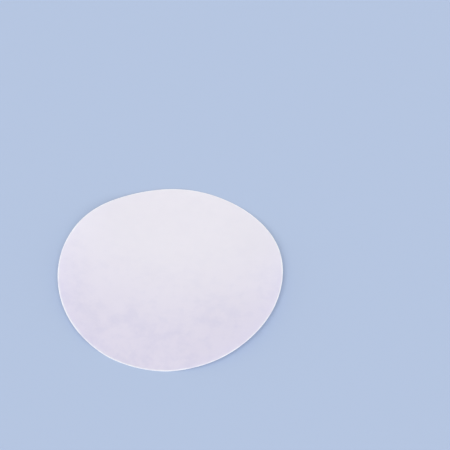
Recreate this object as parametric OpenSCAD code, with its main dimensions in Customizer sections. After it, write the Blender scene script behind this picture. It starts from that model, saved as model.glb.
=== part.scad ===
// Filter paper disc: one circle cut from flat paper, lying loose with a gentle bow.
// A strip across the middle rests flat, and the paper on each side of it curls up
// along an arc that leaves the strip without a crease. The paper only bends and
// never stretches, so its outline is still a true circle when it is pressed flat.
// +X runs across the bow, +Y along the resting strip and +Z up. The origin is
// under the centre of the disc, on the surface that it lies on.

/* [Paper] */
// Diameter of the circle, measured along the paper
disc_d = 110; // [40:1:320]
// Thickness of the paper
paper_t = 0.2; // [0.1:0.01:0.5]

/* [Bow] */
// Width of the middle strip that rests flat
rest_w = 16; // [4:0.5:30]
// Radius of the arc that the underside of each side follows
curl_r = 189; // [150:1:1000]

/* [Hidden] */
// Straight steps that the round cut edge is made of, too short to see
rim_steps = 240;
// Steps in a full turn of the curl arcs
arc_steps = 1440;
// Spare paper that the round cut takes off outside the disc
trim = 5;

disc_r = disc_d / 2;
rest_half = rest_w / 2;
sheet_half = disc_r + trim;

// Distance from the middle line, seen from above, of a point `along` mm from it
// when measured over the paper
function seen_across(along) =
    let (curled = max(abs(along) - rest_half, 0))
    sign(along) * (min(abs(along), rest_half) + curl_r * sin(curled / curl_r * 180 / PI));

// The circle of the flat paper as it looks from above once the sides have curled up
module bowed_outline() {
    polygon([
        for (i = [0 : rim_steps - 1])
            let (turn = 360 * i / rim_steps)
            [seen_across(disc_r * cos(turn)), disc_r * sin(turn)]
    ]);
}

// Cut through one curled side: a quarter ring of the paper's thickness
module curl_section() {
    translate([rest_half, curl_r])
        intersection() {
            difference() {
                circle(r = curl_r, $fn = arc_steps);
                circle(r = curl_r - paper_t, $fn = arc_steps);
            }
            translate([0, -curl_r]) square([curl_r, curl_r]);
        }
}

// Cut through the bowed sheet from side to side: resting strip and both curls
module sheet_section() {
    translate([-rest_half, 0]) square([rest_w, paper_t]);
    curl_section();
    mirror([1, 0]) curl_section();
}

// The whole disc: the bowed sheet, cut round
module paper_disc() {
    color("whitesmoke")
        intersection() {
            rotate([90, 0, 0])
                linear_extrude(height = 2 * sheet_half, center = true) sheet_section();
            linear_extrude(height = curl_r) bowed_outline();
        }
}

paper_disc();
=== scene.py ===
"""A filter paper disc: one circle of soft white laboratory paper, lying loose with a gentle bow.

Everything is in metres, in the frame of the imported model: +X runs across the bow, +Y along
the strip that rests flat, +Z up, and the origin is under the middle of the disc.
"""

import bpy
import numpy as np
from mathutils import Matrix, Vector


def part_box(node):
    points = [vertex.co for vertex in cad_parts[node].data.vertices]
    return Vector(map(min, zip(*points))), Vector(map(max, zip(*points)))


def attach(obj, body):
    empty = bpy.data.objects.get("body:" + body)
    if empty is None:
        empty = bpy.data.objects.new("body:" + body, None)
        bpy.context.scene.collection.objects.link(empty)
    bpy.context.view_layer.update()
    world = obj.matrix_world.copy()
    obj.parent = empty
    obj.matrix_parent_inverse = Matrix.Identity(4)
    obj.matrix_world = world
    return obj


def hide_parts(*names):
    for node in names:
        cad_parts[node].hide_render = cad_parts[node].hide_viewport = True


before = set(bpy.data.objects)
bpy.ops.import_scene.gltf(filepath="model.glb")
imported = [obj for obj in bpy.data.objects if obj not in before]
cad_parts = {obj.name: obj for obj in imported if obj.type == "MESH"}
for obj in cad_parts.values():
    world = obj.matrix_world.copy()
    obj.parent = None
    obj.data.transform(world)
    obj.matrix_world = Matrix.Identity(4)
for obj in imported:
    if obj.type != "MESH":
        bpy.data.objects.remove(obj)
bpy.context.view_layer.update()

MM = 0.001

# The disc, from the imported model's box
NODE = "paper_disc"
low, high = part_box(NODE)
PAPER_T = 0.2 * MM
REST_HALF = 8 * MM  # half the width of the strip that rests flat
RADIUS = (high[1] - low[1]) / 2
CURL_RUN = high[0] - REST_HALF
CURL_RISE = high[2] - PAPER_T
# An arc that leaves the strip level and rises by the rise over the run turns through
# twice the angle whose tangent is rise / run
CURL_TURN = 2 * np.arctan2(CURL_RISE, CURL_RUN)
CURL_RADIUS = CURL_RUN / np.sin(CURL_TURN)

# How finely the sheet is drawn
SECTORS = 720
TOP_RINGS = 60
UNDER_RINGS = 30
EDGE_RINGS = 5
RING_CROWDING = 1.5  # the power that crowds the rings towards the rim

# The cut edge: the cutter rounds the paper over this far in, and leaves fibre ends standing out
EDGE_ROUND = 0.15 * MM
EDGE_FUZZ = 0.05 * MM
FUZZ_TUFTS = 14  # stretches round the rim that are fuzzier than the rest
FUZZ_DEPTH = 2 * MM  # how far in the paper is moved with the fuzz
EDGE_PALE = 0.8 * MM  # how far in the rim is painted paler: loosened fibres, and a painted highlight along the cut edge
EDGE_STRETCH = 5 * MM  # how long the paler stretches are

# Waves that uneven drying leaves in the paper: (length, height, number of waves of that kind)
DRYING_WAVES = (
    (70 * MM, 0.09 * MM, 3),
    (36 * MM, 0.055 * MM, 5),
    (16 * MM, 0.018 * MM, 8),
    (7 * MM, 0.005 * MM, 10),
)
# Waves of the free rim: (waves in a turn, height, phase in degrees)
RIM_WAVES = ((3, 0.20 * MM, -140), (5, 0.40 * MM, 117), (8, 0.12 * MM, 136))
RIM_WAVE_DEPTH = 4  # the power with which they die away towards the middle
LAID_SOFT = 0.05 * MM  # how gently the paper turns from lying on the floor to standing clear
LAID_STEPS = 201  # points along the middle of the strip, where the sheet's level is taken
FUZZ_SEED = 5
WAVE_SEED = 11

# The fibre's colours: where it lies thin, where it lies thick, the painted light towards the far
# side of the disc, and at the cut edge, where loosened fibres and a painted highlight make it white
THIN_FIBRE = "#d7d3e4"
THICK_FIBRE = "#dfdae8"
PAINTED_LIGHT_TINT = "#ece9ee"
LOOSE_FIBRE_AND_HIGHLIGHT = "#ffffff"
# Clouds in the fibre: (size, share of the whole, detail, where the pattern is shifted to)
FIBRE_CLOUDS = (
    (22 * MM, 1.0, 1.0, (0.17, 0.29, 0.0)),
    (5 * MM, 0.55, 2.0, (0.12, 0.45, 0.0)),
    (1.6 * MM, 0.12, 1.0, (0.23, 0.19, 0.0)),
)
CLOUD_SPAN = (0.32, 0.60)  # the clouds' values from thinnest to thickest fibre
PALE_RIM_SPAN = (0.35, 0.60)  # the stretches' values from least to most pale, loosened fibres and painted highlight together
PALE_RIM_LEAST = 0.35  # how pale the least pale stretch of the rim is
# Painted light: painted whiter and less cloudy towards the far side, for more light falling there and
# for pale showing through from beneath; palest round this place beyond the rim, fading out between the
# distances below
PAINTED_LIGHT_PLACE = (-0.25 * RADIUS, 1.78 * RADIUS, 0.0)
PAINTED_LIGHT_OUT = 1.35 * RADIUS
PAINTED_LIGHT_END = 2.7 * RADIUS
PAINTED_LIGHT_MOST = 0.8
# Strands of the felt. Real fibres are 0.02 mm thick: they are drawn 0.25 mm thick and
# 2 mm long, or they would not show
STRAND_THICK = 0.25 * MM
STRAND_SLENDER = 0.12  # thickness over length
STRAND_WAYS = (12, 71, 134)  # degrees
STRAND_SHARE = 0.2  # how high a strand stands beside a cloud
STRAND_BEND = 0.4
RELIEF = 0.06 * MM
RELIEF_SHARE = 0.3  # how much of the relief is felt by the light
# Roughness where the fibre lies thin and where it lies thick, and the clouds' values there
ROUGH = (0.97, 0.88)
ROUGH_SPAN = (0.3, 0.7)
# Cellulose
PAPER_IOR = 1.47
PAPER_SPECULAR = 0.25
PAPER_SCATTER = 0.6  # the share of the light that goes into the paper
SCATTER_DEPTH = 0.3 * MM

# The camera, in radii of the disc and degrees
CAMERA_TARGET = (0.3211 * RADIUS, 0.6784 * RADIUS, 0.0)
CAMERA_DISTANCE = 9.65 * RADIUS
CAMERA_HEADING = 13.27  # turned from +Y towards -X
CAMERA_TILT = 50.91  # below the horizon
CAMERA_ROLL = 1.75
CAMERA_LENS_MM = 83.3
CAMERA_SENSOR_MM = 36.0
CAMERA_NEAREST = 0.01  # metres

# The floor, in metres: level this far out, then rising to its rim
FLOOR_LEVEL = 1.5
FLOOR_RADIUS = 3.0
FLOOR_RIM = 0.8
FLOOR_RINGS = 24
FLOOR_SECTORS = 96
FLOOR_PAINT = "#b3c3dc"
FLOOR_ROUGH = 0.8
FLOOR_SPECULAR = 0.2

# The surround, and lights as (name, where it shines from, breadth in degrees, strength)
SURROUND_TINT = "#f8f7fb"
SURROUND = 0.465
BROAD_LIGHTS = (
    ("high_light", (0.1, -0.35, 0.9), 50, 0.96),
    ("low_light", (0.12, -0.75, 0.65), 45, 1.48),
)


def linear(hex_colour):
    """An sRGB hex colour as linear RGB with alpha: below 0.04045 a twelfth, above it the 2.4 power."""
    srgb = np.array([int(hex_colour[i : i + 2], 16) for i in (1, 3, 5)]) / 255
    rgb = np.where(srgb <= 0.04045, srgb / 12.92, ((srgb + 0.055) / 1.055) ** 2.4)
    return (*rgb.tolist(), 1.0)


def add(tree, kind, settings=None, sockets=None, links=None):
    """Adds a node with its settings, its unlinked socket values and its incoming links."""
    node = tree.nodes.new(kind)
    for name, value in (settings or {}).items():
        setattr(node, name, value)
    for name, value in (sockets or {}).items():
        node.inputs[name].default_value = value
    for name, source in (links or {}).items():
        tree.links.new(source, node.inputs[name])
    return node


def waves(u, v):
    """Height of the sheet's own unevenness over the flat paper point (u, v).

    Drying waves are plain sines, each in a direction and phase of its own. Rim waves are
    cosines of a multiple of the angle round the disc, times the share of the radius to a power.
    """
    draw = np.random.default_rng(WAVE_SEED)
    height = np.zeros_like(u)
    for length, tall, number in DRYING_WAVES:
        for _ in range(number):
            way, phase = draw.uniform(0, 2 * np.pi, 2)
            run = u * np.cos(way) + v * np.sin(way)
            height += tall / np.sqrt(number) * np.sin(2 * np.pi * run / length + phase)
    share = np.hypot(u, v) / RADIUS
    angle = np.arctan2(v, u)
    for turns, tall, phase in RIM_WAVES:
        height += tall * share**RIM_WAVE_DEPTH * np.cos(turns * angle - np.radians(phase))
    return height


def bowed(u, v, lift):
    """Carries flat paper points (u, v), lift above the underside, onto the bow.

    Up to the strip's edge the paper is level. Past it, the distance over the paper divided
    by the curl's radius is the angle of an arc that starts level.
    """
    level = np.minimum(np.abs(u), REST_HALF)
    turn = (np.abs(u) - level) / CURL_RADIUS
    reach = CURL_RADIUS - lift
    return np.sign(u) * (level + reach * np.sin(turn)), v, CURL_RADIUS - reach * np.cos(turn)


def settled(u, v):
    """How far the flat paper point (u, v) is moved up or down by the waves, once the sheet lies down.

    The waves count from their median along the middle of the strip. Where the underside's
    height on the bow plus the waves would be under the floor, the floor holds it up: the
    height becomes half of itself plus the root of its square and the softness squared.
    """
    line = np.linspace(-RADIUS, RADIUS, LAID_STEPS)
    level = np.median(waves(np.zeros(LAID_STEPS), line))
    under = bowed(u, v, 0.0)[2]
    height = under + waves(u, v) - level
    return (height + np.hypot(height, LAID_SOFT)) / 2 - under


def disc_profile():
    """Half a cut through the flat disc, from the middle of its top over the edge to its underside.

    Returns each ring's distance inside the rim and its height as a share of the thickness.
    Over a face that distance is the share of the way left to a power, so rings crowd towards
    the rim. Near the rim both faces close in on mid-thickness along a quarter of an ellipse.
    """
    def rings(number):
        left = 1 - np.arange(1, number + 1) / number
        inner = EDGE_ROUND + (RADIUS - EDGE_ROUND) * left**RING_CROWDING
        edge = EDGE_ROUND * (1 - np.sin(np.pi / 2 * np.arange(1, EDGE_RINGS) / EDGE_RINGS))
        return np.concatenate([inner, edge])

    def fullness(inside):
        return np.sqrt(1 - (1 - np.minimum(inside / EDGE_ROUND, 1)) ** 2)

    top, under = rings(TOP_RINGS), rings(UNDER_RINGS)[::-1]
    inside = np.concatenate([top, [0.0], under])
    share = np.concatenate([0.5 + fullness(top) / 2, [0.5], 0.5 - fullness(under) / 2])
    return inside, share


def ring_faces(first, rings, sectors):
    """Four-sided faces between neighbouring rings of points, of which the first starts at point first."""
    sector = np.arange(sectors)
    after = (sector + 1) % sectors
    here = first + sectors * np.arange(rings - 1)[:, None]
    there = here + sectors
    return np.stack([here + sector, there + sector, there + after, here + after], -1).reshape(-1, 4).tolist()


def make_piece(name, x, y, z, faces, material):
    """A smoothly shaded object at the origin from its points and faces."""
    mesh = bpy.data.meshes.new(name)
    mesh.from_pydata(np.stack([x, y, z], -1).tolist(), [], faces)
    mesh.polygons.foreach_set("use_smooth", np.ones(len(mesh.polygons), bool))
    mesh.materials.append(material)
    mesh.update()
    piece = bpy.data.objects.new(name, mesh)
    bpy.context.scene.collection.objects.link(piece)
    return piece


def make_paper_disc():
    """The sheet as one closed skin: the profile carried round the disc, then bowed and waved.

    A point of the flat paper is (distance from the middle) times (cosine, sine) of its
    sector's angle. The rim's radius varies by the fuzz of the cut, a random share times the
    square of a sine of the angle.
    """
    inside, share = disc_profile()
    rings = len(inside)
    sector = np.arange(SECTORS)
    angle = 2 * np.pi * sector / SECTORS
    draw = np.random.default_rng(FUZZ_SEED)
    fuzz = EDGE_FUZZ * draw.uniform(-1, 1, SECTORS) * np.sin(angle * FUZZ_TUFTS / 2) ** 2
    near_rim = np.clip(1 - inside / FUZZ_DEPTH, 0, 1)[:, None]
    distance = RADIUS - inside[:, None] + fuzz * near_rim

    # The middle of the top comes first and the middle of the underside last
    u = np.concatenate([[0.0], (distance * np.cos(angle)).ravel(), [0.0]])
    v = np.concatenate([[0.0], (distance * np.sin(angle)).ravel(), [0.0]])
    lift = PAPER_T * np.concatenate([[1.0], np.repeat(share, SECTORS), [0.0]])
    x, y, z = bowed(u, v, lift)
    z = z + settled(u, v)
    z -= z.min()

    after = (sector + 1) % SECTORS
    last_ring = 1 + SECTORS * (rings - 1)
    last = last_ring + SECTORS
    top_fan = np.stack([np.zeros_like(sector), 1 + sector, 1 + after], -1).tolist()
    under_fan = np.stack([np.full_like(sector, last), last_ring + after, last_ring + sector], -1).tolist()
    faces = top_fan + ring_faces(1, rings, SECTORS) + under_fan
    piece = make_piece("filter_paper_sheet", x, y, z, faces, wet_laid_filter_paper())

    # Near the rim the colour is painted paler, for loosened fibres and for a painted highlight along the cut
    # edge
    loose_and_highlit = np.concatenate([[0.0], np.repeat(np.clip(1 - inside / EDGE_PALE, 0, 1), SECTORS), [0.0]])
    cut = piece.data.attributes.new("cut_edge", "FLOAT", "POINT")
    cut.data.foreach_set("value", loose_and_highlit.astype(np.float32))
    return piece


def wet_laid_filter_paper():
    """Filter paper: bleached cotton fibre laid wet on a wire, dried and left unpressed.

    To the eye it is matt white with a trace of violet-blue, faintly cloudy where the fibres
    settled thick and thin, and felted with fine strands. Light goes a little way into it,
    which softens its shading. Nothing in it is glossy.
    """
    material = bpy.data.materials.new("wet_laid_filter_paper")
    material.use_nodes = True
    tree = material.node_tree
    tree.nodes.clear()
    place = add(tree, "ShaderNodeTexCoord").outputs["Object"]

    # How thick the fibre lies, from 0 to 1: each finer cloud takes its share of the whole
    laid = None
    for size, share, detail, shift in FIBRE_CLOUDS:
        moved = add(tree, "ShaderNodeMapping", sockets={"Location": shift}, links={"Vector": place})
        cloud = add(
            tree, "ShaderNodeTexNoise",
            sockets={"Scale": 1 / size, "Detail": detail, "Roughness": 0.5},
            links={"Vector": moved.outputs["Vector"]},
        ).outputs["Fac"]
        laid = cloud if laid is None else add(
            tree, "ShaderNodeMix", {"data_type": "FLOAT"}, {"Factor": share}, {"A": laid, "B": cloud}
        ).outputs["Result"]
    body = add(
        tree, "ShaderNodeMapRange", {"interpolation_type": "SMOOTHSTEP"},
        {"From Min": CLOUD_SPAN[0], "From Max": CLOUD_SPAN[1]},
        {"Value": laid},
    ).outputs["Result"]
    clouded = add(
        tree, "ShaderNodeMix", {"data_type": "RGBA"},
        {"A": linear(THIN_FIBRE), "B": linear(THICK_FIBRE)},
        {"Factor": body},
    ).outputs["Result"]

    # Painted light: towards the far side the colour is painted whiter and its clouds fainter, standing in
    # for more light falling there and for pale showing through from beneath
    away = add(
        tree, "ShaderNodeVectorMath", {"operation": "DISTANCE"}, {1: PAINTED_LIGHT_PLACE}, {0: place}
    ).outputs["Value"]
    painted_light = add(
        tree, "ShaderNodeMapRange", {"interpolation_type": "SMOOTHSTEP"},
        {"From Min": PAINTED_LIGHT_OUT, "From Max": PAINTED_LIGHT_END, "To Min": PAINTED_LIGHT_MOST, "To Max": 0.0},
        {"Value": away},
    ).outputs["Result"]
    tint = add(
        tree, "ShaderNodeMix", {"data_type": "RGBA"},
        {"B": linear(PAINTED_LIGHT_TINT)},
        {"Factor": painted_light, "A": clouded},
    ).outputs["Result"]

    # The cut edge is painted white in stretches a few millimetres long: partly loose fibres standing there,
    # partly a painted highlight along the rim
    cut = add(tree, "ShaderNodeAttribute", {"attribute_name": "cut_edge"}).outputs["Fac"]
    stretches = add(
        tree, "ShaderNodeTexNoise",
        sockets={"Scale": 1 / EDGE_STRETCH, "Detail": 2.0},
        links={"Vector": place},
    ).outputs["Fac"]
    pale_rim_share = add(
        tree, "ShaderNodeMapRange",
        sockets={"From Min": PALE_RIM_SPAN[0], "From Max": PALE_RIM_SPAN[1], "To Min": PALE_RIM_LEAST, "To Max": 1.0},
        links={"Value": stretches},
    ).outputs["Result"]
    whitened_and_highlit = add(
        tree, "ShaderNodeMath", {"operation": "MULTIPLY"}, links={0: cut, 1: pale_rim_share}
    ).outputs["Value"]
    colour = add(
        tree, "ShaderNodeMix", {"data_type": "RGBA"},
        {"B": linear(LOOSE_FIBRE_AND_HIGHLIGHT)},
        {"Factor": whitened_and_highlit, "A": tint},
    ).outputs["Result"]

    # The relief is the clouds with strands of fibre laid over them in three directions
    relief = laid
    for degrees in STRAND_WAYS:
        turned = add(
            tree, "ShaderNodeMapping",
            sockets={"Rotation": (0, 0, np.radians(degrees)), "Scale": (1, STRAND_SLENDER, 1)},
            links={"Vector": place},
        )
        strand = add(
            tree, "ShaderNodeTexNoise",
            sockets={"Scale": 1 / STRAND_THICK, "Detail": 1.0, "Distortion": STRAND_BEND},
            links={"Vector": turned.outputs["Vector"]},
        ).outputs["Fac"]
        relief = add(
            tree, "ShaderNodeMath", {"operation": "MULTIPLY_ADD"}, {1: STRAND_SHARE}, {0: strand, 2: relief}
        ).outputs["Value"]
    bump = add(
        tree, "ShaderNodeBump",
        sockets={"Strength": RELIEF_SHARE, "Distance": RELIEF},
        links={"Height": relief},
    ).outputs["Normal"]

    rough = add(
        tree, "ShaderNodeMapRange",
        sockets={
            "From Min": ROUGH_SPAN[0], "From Max": ROUGH_SPAN[1], "To Min": ROUGH[0], "To Max": ROUGH[1]
        },
        links={"Value": laid},
    ).outputs["Result"]
    shader = add(
        tree, "ShaderNodeBsdfPrincipled",
        sockets={
            "IOR": PAPER_IOR,
            "Specular IOR Level": PAPER_SPECULAR,
            "Subsurface Weight": PAPER_SCATTER,
            "Subsurface Radius": (1.0, 1.0, 1.0),
            "Subsurface Scale": SCATTER_DEPTH,
        },
        links={"Base Color": colour, "Roughness": rough, "Normal": bump},
    )
    add(tree, "ShaderNodeOutputMaterial", links={"Surface": shader.outputs["BSDF"]})
    return material


def matt_painted_board():
    """The floor's board: pale blue-grey paint, rolled on matt and even."""
    material = bpy.data.materials.new("matt_painted_board")
    material.use_nodes = True
    shader = material.node_tree.nodes["Principled BSDF"]
    shader.inputs["Base Color"].default_value = linear(FLOOR_PAINT)
    shader.inputs["Roughness"].default_value = FLOOR_ROUGH
    shader.inputs["Specular IOR Level"].default_value = FLOOR_SPECULAR
    return material


def make_floor():
    """A studio floor: level round the disc, and rising to a low rim far off.

    A ring's height is the rim's height times (1 - the cosine of a quarter turn's share of
    the way from the level part to the rim).
    """
    out = np.linspace(FLOOR_LEVEL, FLOOR_RADIUS, FLOOR_RINGS)
    way = np.pi / 2 * (out - FLOOR_LEVEL) / (FLOOR_RADIUS - FLOOR_LEVEL)
    angle = 2 * np.pi * np.arange(FLOOR_SECTORS) / FLOOR_SECTORS
    x = (out[:, None] * np.cos(angle)).ravel()
    y = (out[:, None] * np.sin(angle)).ravel()
    z = np.repeat(FLOOR_RIM * (1 - np.cos(way)), FLOOR_SECTORS)
    faces = [list(range(FLOOR_SECTORS))] + ring_faces(0, FLOOR_RINGS, FLOOR_SECTORS)
    make_piece("floor", x, y, z, faces, matt_painted_board())


def make_light():
    """Soft studio light: a pale surround, and the broad far-off lights of the list."""
    world = bpy.data.worlds.new("pale_surround")
    world.use_nodes = True
    surround = world.node_tree.nodes["Background"]
    surround.inputs["Color"].default_value = linear(SURROUND_TINT)
    surround.inputs["Strength"].default_value = SURROUND
    bpy.context.scene.world = world
    for name, place, breadth, strength in BROAD_LIGHTS:
        lamp = bpy.data.lights.new(name, "SUN")
        lamp.angle = np.radians(breadth)
        lamp.energy = strength
        light = bpy.data.objects.new(name, lamp)
        light.location = place
        light.rotation_euler = (-Vector(place)).to_track_quat("-Z", "Y").to_euler()
        bpy.context.scene.collection.objects.link(light)


def make_camera():
    """The camera: its view axis from the heading and tilt, turned about itself by the roll."""
    heading, tilt, roll = np.radians([CAMERA_HEADING, CAMERA_TILT, CAMERA_ROLL])
    forward = np.array([-np.sin(heading) * np.cos(tilt), np.cos(heading) * np.cos(tilt), -np.sin(tilt)])
    level_right = np.array([np.cos(heading), np.sin(heading), 0.0])
    level_up = np.cross(level_right, forward)
    right = np.cos(roll) * level_right + np.sin(roll) * level_up
    up = np.cos(roll) * level_up - np.sin(roll) * level_right
    turn = np.eye(4)
    turn[:3, :3] = np.stack([right, up, -forward], axis=1)
    turn[:3, 3] = np.array(CAMERA_TARGET) - forward * CAMERA_DISTANCE
    lens = bpy.data.cameras.new("camera")
    lens.lens = CAMERA_LENS_MM
    lens.sensor_width = CAMERA_SENSOR_MM
    lens.clip_start = CAMERA_NEAREST
    camera = bpy.data.objects.new("camera", lens)
    camera.matrix_world = Matrix(turn.tolist())
    bpy.context.scene.collection.objects.link(camera)
    bpy.context.scene.camera = camera


make_camera()
make_light()
make_floor()
paper = make_paper_disc()
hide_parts(NODE)
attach(paper, "root")
bpy.context.scene.view_settings.view_transform = "Standard"
